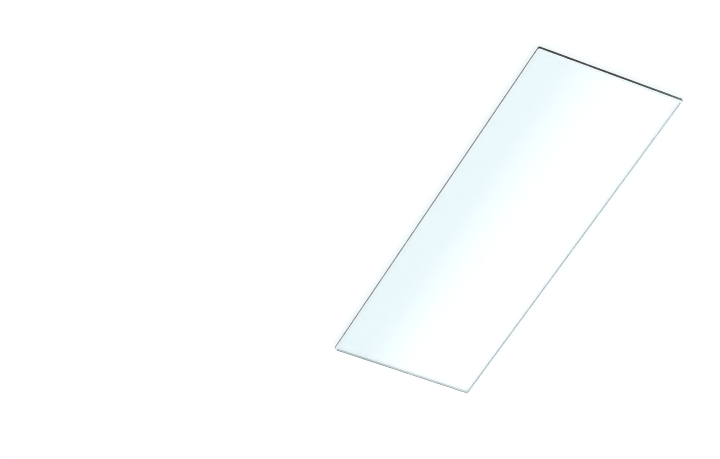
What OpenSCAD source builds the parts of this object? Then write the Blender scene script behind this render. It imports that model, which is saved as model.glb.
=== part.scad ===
// Plain microscope slide: one flat plate of clear glass, cut square, with its
// sharp arrises seamed off and its four corners clipped.
// The origin is the middle of the underside. +X runs along the length,
// +Y across the width and +Z up through the thickness. All sizes are in mm.

/* [Plate] */
// Length of the plate from end to end
plate_length = 75; // [50:0.1:120]
// Width of the plate from side to side
plate_width = 25; // [15:0.1:60]
// Thickness of the glass
glass_thickness = 1; // [0.7:0.05:2]

/* [Edges] */
// Set-back of the 45 degree seam ground along every arris
arris_seam = 0.25; // [0.05:0.01:0.3]
// Length taken off each side where a corner is clipped at 45 degrees
corner_clip = 0.2; // [0.1:0.05:3]

/* [Finish] */
// Tint of the glass, where a long path through it gathers colour
glass_tint = "PaleTurquoise"; // [PaleTurquoise, LightCyan, Azure]
// How much of what lies behind the glass it hides
glass_opacity = 0.35; // [0.1:0.05:1]

/* [Hidden] */
// Distance between the two clipped corners at the ends of a diagonal
clipped_span = (plate_length + plate_width - 2 * corner_clip) / sqrt(2);
// The four pairs of opposite edge faces: the way each pair faces, and its span
edge_pairs = [
    [0, plate_length],
    [90, plate_width],
    [45, clipped_span],
    [-45, clipped_span],
];
// Every bar reaches well past the plate that the bars are crossed to make
bar_reach = 2 * (plate_length + plate_width);

// Section through a pair of edge faces: the full thickness, with all four
// arrises seamed by the same amount.
module seamed_section(span) {
    half = span / 2;
    polygon([
        [-half + arris_seam, 0],
        [half - arris_seam, 0],
        [half, arris_seam],
        [half, glass_thickness - arris_seam],
        [half - arris_seam, glass_thickness],
        [-half + arris_seam, glass_thickness],
        [-half, glass_thickness - arris_seam],
        [-half, arris_seam],
    ]);
}

// Long bar with that section, its edge faces square to X.
module seamed_bar(span) {
    rotate([90, 0, 0])
        linear_extrude(height = bar_reach, center = true)
            seamed_section(span);
}

// The plate is what the four crossed bars share, so the seams mitre where
// two edges meet and run unbroken round the clipped corners.
module glass_slide() {
    color(glass_tint, glass_opacity)
        intersection_for(pair = edge_pairs)
            rotate([0, 0, pair[0]])
                seamed_bar(pair[1]);
}

glass_slide();
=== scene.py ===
"""Microscope slide: one cut and seamed plate of clear soda-lime glass, lying flat on a white table."""
import logging
import math
from dataclasses import dataclass
from enum import IntEnum

import bpy
from mathutils import Matrix, Vector


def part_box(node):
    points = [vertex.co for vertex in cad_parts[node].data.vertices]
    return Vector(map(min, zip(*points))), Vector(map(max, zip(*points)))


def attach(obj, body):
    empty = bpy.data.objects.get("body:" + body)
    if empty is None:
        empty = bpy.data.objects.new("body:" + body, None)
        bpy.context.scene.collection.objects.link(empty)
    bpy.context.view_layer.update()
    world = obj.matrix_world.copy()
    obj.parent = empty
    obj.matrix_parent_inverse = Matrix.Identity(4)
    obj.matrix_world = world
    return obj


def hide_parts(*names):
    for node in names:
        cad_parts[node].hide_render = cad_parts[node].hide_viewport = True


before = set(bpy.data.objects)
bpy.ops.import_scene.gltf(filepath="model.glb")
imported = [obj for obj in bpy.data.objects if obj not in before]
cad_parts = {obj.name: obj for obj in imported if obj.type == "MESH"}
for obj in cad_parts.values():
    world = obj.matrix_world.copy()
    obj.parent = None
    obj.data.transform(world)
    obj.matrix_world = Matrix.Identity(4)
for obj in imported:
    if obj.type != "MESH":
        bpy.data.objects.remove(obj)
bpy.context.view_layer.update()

LOG = logging.getLogger("microscope_slide")
MM = 0.001
HAIR = 0.001 * MM  # points closer than this to a plane lie in it
PLATE_NODE = "glass_slide"

Colour = tuple[float, float, float, float]
Polygon = tuple[int, ...]
Socket = bpy.types.NodeSocket


def linear(hex_colour: str, strength: float = 1.0) -> Colour:
    """Turn an sRGB hex colour into the linear colour that a socket takes.

    Args:
        hex_colour: the colour as #RRGGBB.
        strength: what the linear colour is multiplied by, for light that is brighter than white.

    Returns:
        Linear red, green and blue, and an alpha of 1.
    """
    channels = [int(hex_colour[i:i + 2], 16) / 255 for i in (1, 3, 5)]
    decoded = [c / 12.92 if c <= 0.04045 else ((c + 0.055) / 1.055) ** 2.4 for c in channels]
    red, green, blue = (c * strength for c in decoded)
    return red, green, blue, 1.0


def add_node(tree: bpy.types.NodeTree, kind: str, props: dict | None = None,
             inputs: dict | None = None) -> bpy.types.Node:
    """Add one node with its settings and links.

    Args:
        tree: the node tree that gets the node.
        kind: the node's type.
        props: the node's own properties, by name.
        inputs: its input sockets, by name or number. An output socket is linked, and anything
            else becomes the input's value.

    Returns:
        The new node.
    """
    node = tree.nodes.new(kind)
    for name, value in (props or {}).items():
        setattr(node, name, value)
    for key, value in (inputs or {}).items():
        if isinstance(value, Socket):
            tree.links.new(value, node.inputs[key])
        else:
            node.inputs[key].default_value = value
    return node


def empty_tree(owner: bpy.types.Material | bpy.types.World) -> bpy.types.NodeTree:
    """Turn nodes on for a material or world, and clear them.

    Args:
        owner: the material or world.

    Returns:
        Its node tree, with nothing in it.
    """
    owner.use_nodes = True
    owner.node_tree.nodes.clear()
    return owner.node_tree


class Zone(IntEnum):
    """How each part of the plate's skin was made."""

    FACE = 0
    CUT = 1
    SEAM = 2

    @property
    def mark(self) -> str:
        """Name the mesh attribute that is 1 on this zone and 0 elsewhere."""
        return self.name.lower()


@dataclass(frozen=True)
class Ripple:
    """A gentle uneven line, as a sum of sines whose lengths share no common multiple.

    Attributes:
        depth_mm: how far the line swings to either side of its middle.
        lengths_mm: the wavelengths along the outline, longest first.
    """

    depth_mm: float
    lengths_mm: tuple[float, ...]

    def at(self, along: float) -> float:
        """Work out the swing at one place.

        Args:
            along: how far along the outline the place is, in metres.

        Returns:
            The swing to either side, in metres.
        """
        total = sum(math.sin(math.tau * along / (length * MM) + i) / (i + 1)
                    for i, length in enumerate(self.lengths_mm))
        most = sum(1 / (i + 1) for i in range(len(self.lengths_mm)))
        return self.depth_mm * MM * total / most


@dataclass(frozen=True)
class SeamedGlass:
    """Clear soda-lime glass: faces fire-polished, edges scored and snapped, arrises ground.

    It bends light by its index alone on the faces, which are colourless at a glance. The iron in it
    takes red first, so a cut edge, seen through centimetres of glass, goes a deep blue-green.
    The ground seams are matt, and read as a thin frosted line round the clear face.

    Attributes:
        ior: index of refraction of soda-lime glass.
        tint: what white light is left with after tint_depth_mm of the glass. That is several times
            darker than the real glass, because an all-white studio has nothing dark for an edge
            to pick up.
        tint_depth_mm: the depth of glass that leaves that tint.
        white: what the ground seams scatter. On the clear zones it tints nothing.
        cut_roughness: a snapped edge is almost as bright as the faces.
        seam_roughness: roughness on the least and on the most ground spots of a seam.
        seam_clearness: how much light a seam lets in on those spots. It scatters the rest.
        inner_clearness: how much light it lets out again, which meets the ground skin from inside.
        grit_mm: grain of the ground finish. A real 120 grit belt leaves about 0.05 mm, which is too
            fine to show, so it is drawn at twice that.
        grit_depth_mm: height of those grains.
        grit_layers: how many layers of finer grain lie over the first.
        grit_fading: strength of each finer layer beside the one before it.
        grit_span: the pattern's values on the least and on the most ground spots.
    """

    ior: float = 1.52
    tint: str = "#B7CED2"
    tint_depth_mm: float = 10.0
    white: str = "#FFFFFF"
    cut_roughness: float = 0.02
    seam_roughness: tuple[float, float] = (0.08, 0.22)
    seam_clearness: tuple[float, float] = (0.12, 0.0)
    inner_clearness: float = 0.55
    grit_mm: float = 0.1
    grit_depth_mm: float = 0.003
    grit_layers: float = 2.0
    grit_fading: float = 0.6
    grit_span: tuple[float, float] = (0.3, 0.7)

    def material(self) -> bpy.types.Material:
        """Build the glass, with one closed volume behind all of its surfaces.

        Returns:
            The material, which reads the marks of the zones from the mesh.
        """
        material = bpy.data.materials.new("soda_lime_glass_cut_and_seamed")
        tree = empty_tree(material)
        on_cut, on_seam = (
            add_node(tree, "ShaderNodeAttribute", {"attribute_name": zone.mark}).outputs["Fac"]
            for zone in (Zone.CUT, Zone.SEAM)
        )
        grit = self.grit(tree)
        roughness, clearness = self.ground_finish(tree, grit)
        cut_rough = add_node(tree, "ShaderNodeMath", {"operation": "MULTIPLY"}, {
            0: on_cut, 1: self.cut_roughness,
        })
        roughness, clearness = (
            add_node(tree, "ShaderNodeMix", {"data_type": "FLOAT"}, {
                "Factor": on_seam, "A": elsewhere, "B": ground,
            }).outputs[0]
            for elsewhere, ground in ((cut_rough.outputs[0], roughness), (1.0, clearness))
        )
        height = add_node(tree, "ShaderNodeMath", {"operation": "MULTIPLY"}, {0: grit, 1: on_seam})
        bump = add_node(tree, "ShaderNodeBump", {}, {
            "Height": height.outputs[0], "Distance": self.grit_depth_mm * MM, "Strength": 1.0,
        })
        glass = add_node(tree, "ShaderNodeBsdfPrincipled", {}, {
            "Base Color": linear(self.white),
            "Roughness": roughness,
            "IOR": self.ior,
            "Transmission Weight": clearness,
            "Normal": bump.outputs[0],
        })
        depth = self.tint_depth_mm * MM
        absorbed = [-math.log(share) / depth for share in linear(self.tint)[:3]]
        density = max(absorbed)
        inside = add_node(tree, "ShaderNodeVolumeAbsorption", {}, {
            "Color": (*[1 - rate / density for rate in absorbed], 1.0),
            "Density": density,
        })
        add_node(tree, "ShaderNodeOutputMaterial", {}, {
            "Surface": glass.outputs[0], "Volume": inside.outputs[0],
        })
        return material

    def grit(self, tree: bpy.types.NodeTree) -> Socket:
        """Draw the grains that the seaming belt leaves.

        Args:
            tree: the material's node tree.

        Returns:
            The height pattern, round 0.5.
        """
        place = add_node(tree, "ShaderNodeTexCoord")
        return add_node(tree, "ShaderNodeTexNoise", {"noise_dimensions": "3D"}, {
            "Vector": place.outputs["Object"],
            "Scale": 1 / (self.grit_mm * MM),
            "Detail": self.grit_layers,
            "Roughness": self.grit_fading,
        }).outputs[0]

    def ground_finish(self, tree: bpy.types.NodeTree, grit: Socket) -> tuple[Socket, Socket]:
        """Turn the grit into a ground seam's finish, which differs from inside the glass.

        Args:
            tree: the material's node tree.
            grit: the height pattern.

        Returns:
            Its roughness, and its clearness as a transmission weight.
        """
        start, end = self.grit_span
        roughness, clearness = (
            add_node(tree, "ShaderNodeMapRange", {}, {
                "Value": grit, "From Min": start, "From Max": end, "To Min": smooth, "To Max": rough,
            }).outputs[0]
            for smooth, rough in (self.seam_roughness, self.seam_clearness)
        )
        skin = add_node(tree, "ShaderNodeNewGeometry")
        either_side = add_node(tree, "ShaderNodeMix", {"data_type": "FLOAT"}, {
            "Factor": skin.outputs["Backfacing"], "A": clearness, "B": self.inner_clearness,
        })
        return roughness, either_side.outputs[0]


@dataclass(frozen=True)
class Station:
    """One place on the plate's outline.

    Attributes:
        side: which straight side it is on, or which side the corner cut follows: 0 is the front
            edge, 1 the right end, 2 the back edge and 3 the left end.
        share: how far along the side it lies, from 0 to 1.
        turn: how far round the corner cut it lies, from 0 to 1, or 0 on the side itself.
    """

    side: int
    share: float
    turn: float = 0.0


@dataclass
class GlassPlate:
    """The slide: a flat plate with clipped corners, cut edges and a ground seam on every arris.

    Its sizes are in metres.

    Attributes:
        half_length: half the length, along X.
        half_width: half the width, along Y.
        thickness: height of the upper face over the table.
        seam: how far the 45 degree seams are set back, on the face and on the edge alike.
        corner_clip: length that each clipped corner takes off its two sides.
        glass: the finish.
        step: spacing of the points along the outline.
        cell_steps: how many of those spacings one side of a face cell spans.
        clip_steps: spacings across a corner cut.
        seam_rows: rows of quads down a seam.
        edge_rows: rows of quads down the cut edge between its seams.
        seam_waver: how unevenly the belt was held, as a swing in the seam's set-back.
        edge_ribs: the faint ribs that the running crack leaves on a snapped edge.
        rib_bow: how far the ribs bow along the edge between its middle and its arrises.
        crease: the angle, in degrees, over which two faces of the mesh meet in a sharp line.
    """

    half_length: float
    half_width: float
    thickness: float
    seam: float
    corner_clip: float
    glass: SeamedGlass = SeamedGlass()
    step: float = 0.25 * MM
    cell_steps: int = 4
    clip_steps: int = 2
    seam_rows: int = 3
    edge_rows: int = 8
    seam_waver: Ripple = Ripple(0.012, (9.1, 3.7, 1.3))
    edge_ribs: Ripple = Ripple(0.004, (4.3, 1.9, 1.1))
    rib_bow: float = 0.6 * MM
    crease: float = 20.0

    @classmethod
    def from_cad(cls, node: bpy.types.Object) -> "GlassPlate":
        """Take the plate's sizes from the CAD solid that it stands in for.

        Args:
            node: the CAD node's object.

        Returns:
            A plate of the same outline, thickness, seams and corners.
        """
        low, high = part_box(PLATE_NODE)
        half_length, half_width = high[0], high[1]
        points = [vertex.co for vertex in node.data.vertices]
        face_reach = max(p.x for p in points if high[2] - p.z < HAIR)
        end_reach = max(p.y for p in points if half_length - p.x < HAIR)
        return cls(half_length, half_width, high[2] - low[2],
                   half_length - face_reach, half_width - end_reach)

    def stations(self) -> list[Station]:
        """List the places round the outline.

        Returns:
            The stations, anticlockwise from the front edge's left end.
        """
        places = []
        for side in range(4):
            steps = self.side_steps(side)
            places += [Station(side, i / steps) for i in range(steps + 1)]
            places += [Station(side, 1.0, i / self.clip_steps) for i in range(1, self.clip_steps)]
        return places

    def side_steps(self, side: int) -> int:
        """Count the spacings along one side: a whole number of face cells."""
        length = 2 * (self.half_width if side % 2 else self.half_length)
        return self.cell_steps * round(length / (self.step * self.cell_steps))

    def side_ends(self, side: int, inset: float) -> tuple[Vector, Vector]:
        """Find where one side starts and ends, between its corner cuts.

        Args:
            side: the side's number, as in Station.
            inset: how far inside the true outline.

        Returns:
            The start and the end, going anticlockwise.
        """
        reach = Vector((self.half_length - inset, self.half_width - inset))
        cut = self.corner_clip - inset * (2 - math.sqrt(2))
        along, out = (reach.y, reach.x) if side % 2 else (reach.x, reach.y)
        turned = Matrix.Rotation(side * math.pi / 2, 2)
        return turned @ Vector((cut - along, -out)), turned @ Vector((along - cut, -out))

    def outline_point(self, station: Station, inset: float) -> Vector:
        """Find one station's point on the outline.

        Args:
            station: the place on the outline.
            inset: how far inside the true outline.

        Returns:
            The point's X and Y.
        """
        start, end = self.side_ends(station.side, inset)
        if not station.turn:
            return start.lerp(end, station.share)
        return end.lerp(self.side_ends((station.side + 1) % 4, inset)[0], station.turn)

    def distance_along(self, station: Station) -> float:
        """Measure how far round the outline a station lies, for the ripples.

        Args:
            station: the place on the outline.

        Returns:
            The distance from the front edge's left end.
        """
        lengths = [2 * (self.half_width if side % 2 else self.half_length) for side in range(4)]
        here = sum(lengths[:station.side]) + lengths[station.side] * station.share
        return here + self.corner_clip * math.sqrt(2) * station.turn

    def profile(self, station: Station) -> list[tuple[float, float]]:
        """Run down the skin at one station, from the upper face to the lower one.

        Args:
            station: the place on the outline.

        Returns:
            Pairs of inset and height: down the upper seam, the cut edge and the lower seam.
        """
        along = self.distance_along(station)
        # Reading the waver half a plate further on each time lets the four set-backs differ.
        upper_in, upper_down, lower_down, lower_in = (
            self.seam + self.seam_waver.at(along + i * self.half_length) for i in range(4))
        edge_top, edge_foot = self.thickness - upper_down, lower_down
        rows = []
        for i in range(self.seam_rows):
            share = i / self.seam_rows
            rows.append((upper_in * (1 - share) + self.rib_depth(along, edge_top) * share,
                         self.thickness - upper_down * share))
        for i in range(self.edge_rows + 1):
            height = edge_top + (edge_foot - edge_top) * i / self.edge_rows
            rows.append((self.rib_depth(along, height), height))
        for i in range(1, self.seam_rows + 1):
            share = i / self.seam_rows
            rows.append((lower_in * share + self.rib_depth(along, edge_foot) * (1 - share),
                         lower_down * (1 - share)))
        return rows

    def rib_depth(self, along: float, height: float) -> float:
        """Give how far the snapped edge lies inside the true outline, which it never passes."""
        lean = (2 * height / self.thickness - 1) ** 2
        return self.edge_ribs.depth_mm * MM + self.edge_ribs.at(along + self.rib_bow * lean)

    def face_cells(self, ring: list[int], points: list[tuple[float, float, float]],
                   height: float) -> list[Polygon]:
        """Fill one flat face with square cells, whose outer ones pick up every outline point.

        Args:
            ring: the points round the face, anticlockwise, in the order of the stations.
            points: all the points so far. The face's inner ones are added to it.
            height: the face's height.

        Returns:
            The cells, anticlockwise as seen from above.
        """
        columns, rows = (self.side_steps(side) // self.cell_steps for side in (0, 1))
        x_end = self.side_ends(0, self.seam)[1].x
        y_end = self.side_ends(1, self.seam)[1].y
        x_at = [x_end * (2 * i / columns - 1) for i in range(columns + 1)]
        y_at = [y_end * (2 * i / rows - 1) for i in range(rows + 1)]
        first = len(points)
        points += [(x_at[i], y_at[j], height) for j in range(1, rows) for i in range(1, columns)]

        def inner(i: int, j: int) -> int:
            """Number the inner point in column i and row j, both from 1."""
            return first + (j - 1) * (columns - 1) + i - 1

        cells = [(inner(i, j), inner(i + 1, j), inner(i + 1, j + 1), inner(i, j + 1))
                 for j in range(1, rows - 1) for i in range(1, columns - 1)]
        across = [inner(i, 1) for i in range(1, columns)]
        up = [inner(columns - 1, j) for j in range(1, rows)]
        back = [inner(i, rows - 1) for i in range(columns - 1, 0, -1)]
        down = [inner(1, j) for j in range(rows - 1, 0, -1)]
        start = 0
        for side, inner_line in enumerate((across, up, back, down)):
            steps = self.side_steps(side)
            for i in range(len(inner_line) - 1):
                reach = start + (i + 1) * self.cell_steps
                outer = [ring[reach + k] for k in range(self.cell_steps + 1)]
                cells.append((*outer, inner_line[i + 1], inner_line[i]))
            turn = range(start + steps - self.cell_steps,
                         start + steps + self.clip_steps + self.cell_steps + 1)
            cells.append((*[ring[k % len(ring)] for k in turn], inner_line[-1]))
            start += steps + self.clip_steps
        return cells

    def build(self) -> bpy.types.Object:
        """Make the plate as one closed mesh, marked by zone, and dress it.

        Returns:
            The plate's object, in the frame's own place.
        """
        stations = self.stations()
        profiles = [self.profile(station) for station in stations]
        count, rows = len(stations), len(profiles[0])
        points = []
        for row in range(rows):
            for station, profile in zip(stations, profiles):
                inset, height = profile[row]
                points.append((*self.outline_point(station, inset), height))
        polygons = [(row * count + k, (row + 1) * count + k,
                     (row + 1) * count + (k + 1) % count, row * count + (k + 1) % count)
                    for row in range(rows - 1) for k in range(count)]
        edge = range(self.seam_rows, self.seam_rows + self.edge_rows)
        zones = [Zone.CUT if row in edge else Zone.SEAM for row in range(rows - 1) for _ in range(count)]
        upper = self.face_cells(list(range(count)), points, self.thickness)
        lower = self.face_cells(list(range((rows - 1) * count, rows * count)), points, 0.0)
        polygons += upper + [cell[::-1] for cell in lower]
        zones += [Zone.FACE] * (len(upper) + len(lower))

        mesh = bpy.data.meshes.new("slide_plate")
        mesh.from_pydata(points, [], polygons)
        mesh.polygons.foreach_set("use_smooth", [True] * len(polygons))
        mesh.set_sharp_from_angle(angle=math.radians(self.crease))
        for zone in (Zone.CUT, Zone.SEAM):
            mark = mesh.attributes.new(zone.mark, "FLOAT", "FACE")
            mark.data.foreach_set("value", [float(each == zone) for each in zones])
        mesh.materials.append(self.glass.material())
        plate = bpy.data.objects.new("slide_plate", mesh)
        bpy.context.scene.collection.objects.link(plate)
        LOG.info("slide_plate: %d faces, %.1f x %.1f x %.2f mm, seams %.2f mm, corners %.2f mm",
                 len(polygons), 2 * self.half_length / MM, 2 * self.half_width / MM,
                 self.thickness / MM, self.seam / MM, self.corner_clip / MM)
        return plate


@dataclass(frozen=True)
class WhiteTable:
    """A white table top that glows a little, so that it stays white with a soft shadow on it.

    Attributes:
        half_size: half its side in metres, far past what any view takes in.
        gap: how far it lies under the slide, so that the two surfaces don't coincide.
        paint: its colour. It is a light grey, and the glow makes up the rest of the white.
        glow: what it adds for the rays that look at it or see it in glass.
    """

    half_size: float = 6.0
    gap: float = 0.03 * MM
    paint: str = "#B0B0B0"
    glow: float = 0.61

    def build(self) -> None:
        """Make the table top and put it in the scene."""
        reach = self.half_size
        mesh = bpy.data.meshes.new("white_table")
        mesh.from_pydata([(x, y, -self.gap) for x, y in
                          ((-reach, -reach), (reach, -reach), (reach, reach), (-reach, reach))],
                         [], [(0, 1, 2, 3)])
        mesh.materials.append(self.material())
        table = bpy.data.objects.new("white_table", mesh)
        bpy.context.scene.collection.objects.link(table)
        LOG.info("white_table: %.0f m square", 2 * reach)

    def material(self) -> bpy.types.Material:
        """Build matt card with the glow on camera, glossy and transmitted rays.

        Returns:
            The material, which reads as plain white.
        """
        material = bpy.data.materials.new("matt_white_card")
        tree = empty_tree(material)
        ray = add_node(tree, "ShaderNodeLightPath")
        looked_at = ray.outputs["Is Camera Ray"]
        for kind in ("Is Glossy Ray", "Is Transmission Ray"):
            looked_at = add_node(tree, "ShaderNodeMath", {"operation": "MAXIMUM"}, {
                0: looked_at, 1: ray.outputs[kind],
            }).outputs[0]
        glow = add_node(tree, "ShaderNodeMath", {"operation": "MULTIPLY"}, {0: looked_at, 1: self.glow})
        light = add_node(tree, "ShaderNodeEmission", {}, {"Strength": glow.outputs[0]})
        card = add_node(tree, "ShaderNodeBsdfDiffuse", {}, {"Color": linear(self.paint)})
        both = add_node(tree, "ShaderNodeAddShader", {}, {0: card.outputs[0], 1: light.outputs[0]})
        add_node(tree, "ShaderNodeOutputMaterial", {}, {"Surface": both.outputs[0]})
        return material


@dataclass(frozen=True)
class SoftStudio:
    """The light: a plain white tent all round, with a long soft box and an aqua flag in its roof.

    The box and the flag run side by side along X, over the back of the slide. The upper face
    mirrors the flag on its front half and the box on its back half, so its tint fades to white.
    Angles are from straight up towards +Y, in degrees.

    Attributes:
        tent: colour of the tent.
        flag: colour of the flag.
        flag_from: where the flag fades in and is full.
        flag_to: where it starts to give way to the box, and has gone.
        box_strength: how many times as bright as the tent the box is.
        box_to: where the box starts to fade, and has gone.
        roof_from: heights of a view's direction, as sines, between which the roof fades in.
    """

    tent: str = "#FFFFFF"
    flag: str = "#30C8DA"
    flag_from: tuple[float, float] = (0.0, 6.0)
    flag_to: tuple[float, float] = (23.3, 24.9)
    box_strength: float = 1.95
    box_to: tuple[float, float] = (42.0, 50.0)
    roof_from: tuple[float, float] = (0.45, 0.6)

    def build(self) -> None:
        """Make the world and put it in the scene."""
        world = bpy.data.worlds.new("soft_studio")
        tree = empty_tree(world)
        way = add_node(tree, "ShaderNodeTexCoord")
        axes = add_node(tree, "ShaderNodeSeparateXYZ", {}, {0: way.outputs["Generated"]})
        lean = add_node(tree, "ShaderNodeMath", {"operation": "ARCTAN2"}, {
            0: axes.outputs["Y"], 1: axes.outputs["Z"],
        })
        degree = math.radians(1)
        fades = {}
        for name, source, (start, end), unit in (
            ("flag_on", lean.outputs[0], self.flag_from, degree),
            ("box_on", lean.outputs[0], self.flag_to, degree),
            ("box_off", lean.outputs[0], self.box_to, degree),
            ("roof", axes.outputs["Z"], self.roof_from, 1.0),
        ):
            fades[name] = add_node(tree, "ShaderNodeMapRange", {"interpolation_type": "SMOOTHSTEP"}, {
                "Value": source, "From Min": start * unit, "From Max": end * unit,
            }).outputs[0]
        sky = linear(self.tent)
        for name, colour in (
            ("flag_on", linear(self.flag)),
            ("box_on", linear(self.tent, self.box_strength)),
            ("box_off", linear(self.tent)),
        ):
            sky = add_node(tree, "ShaderNodeMix", {"data_type": "RGBA"}, {
                "Factor": fades[name], "A": sky, "B": colour,
            }).outputs["Result"]
        sky = add_node(tree, "ShaderNodeMix", {"data_type": "RGBA"}, {
            "Factor": fades["roof"], "A": linear(self.tent), "B": sky,
        }).outputs["Result"]
        light = add_node(tree, "ShaderNodeBackground", {}, {"Color": sky})
        add_node(tree, "ShaderNodeOutputWorld", {}, {"Surface": light.outputs[0]})
        bpy.context.scene.world = world
        LOG.info("soft_studio: white tent, with a soft box %.2f times as bright", self.box_strength)


@dataclass(frozen=True)
class Viewpoint:
    """The camera: a long lens that looks down along the slide from beyond its left end.

    Attributes:
        azimuth: where it stands, in degrees from the front and anticlockwise from above.
        elevation: its height over the table, in degrees.
        roll: how far the picture is turned, which puts the slide's near end at the top.
        distance: how far it stands from its aim.
        aim: the spot on the table in the middle of the picture, beside the slide.
        lens_mm: focal length.
        sensor_mm: width of the sensor.
        nearest: how close to the lens it still sees.
    """

    azimuth: float = -66.6
    elevation: float = 45.0
    roll: float = 181.9
    distance: float = 0.484
    aim: tuple[float, float, float] = (10.4 * MM, -20.25 * MM, 0.0)
    lens_mm: float = 150.0
    sensor_mm: float = 36.0
    nearest: float = 1 * MM

    def build(self) -> None:
        """Make the camera and give it to the scene."""
        camera = bpy.data.objects.new("camera", bpy.data.cameras.new("camera"))
        camera.data.lens = self.lens_mm
        camera.data.sensor_width = self.sensor_mm
        camera.data.clip_start = self.nearest
        turn, rise = math.radians(self.azimuth), math.radians(self.elevation)
        back = Vector((math.sin(turn) * math.cos(rise), -math.cos(turn) * math.cos(rise), math.sin(rise)))
        facing = (-back).to_track_quat("-Z", "Y").to_matrix()
        facing = facing @ Matrix.Rotation(math.radians(self.roll), 3, "Z")
        camera.matrix_world = Matrix.Translation(Vector(self.aim) + back * self.distance) @ facing.to_4x4()
        scene = bpy.context.scene
        scene.collection.objects.link(camera)
        scene.camera = camera
        LOG.info("camera: %.0f mm lens at %.0f mm", self.lens_mm, self.distance / MM)


def set_light_paths(bounces: int = 48, filter_width: float = 1.0) -> None:
    """Let light run the length of the plate, which takes about forty reflections inside it.

    The denoiser goes by colour and albedo, because normals make it leave specks in the corners of
    a picture as white as this one.

    Args:
        bounces: the most reflections and refractions that one ray may make.
        filter_width: width of the render's own filter. A narrow one keeps the thin edges crisp.
    """
    scene = bpy.context.scene
    scene.cycles.max_bounces = bounces
    scene.cycles.glossy_bounces = bounces
    scene.cycles.transmission_bounces = bounces
    scene.cycles.blur_glossy = 0.0
    scene.cycles.filter_width = filter_width
    scene.cycles.denoising_input_passes = "RGB_ALBEDO"
    scene.view_settings.view_transform = "Standard"


def main() -> None:
    """Build the view, the studio and the slide, in that order."""
    logging.basicConfig(level=logging.INFO, format="%(name)s: %(message)s")
    set_light_paths()
    Viewpoint().build()
    SoftStudio().build()
    WhiteTable().build()
    plate = GlassPlate.from_cad(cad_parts[PLATE_NODE]).build()
    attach(plate, "root")
    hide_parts(PLATE_NODE)


if __name__ == "__main__":
    main()
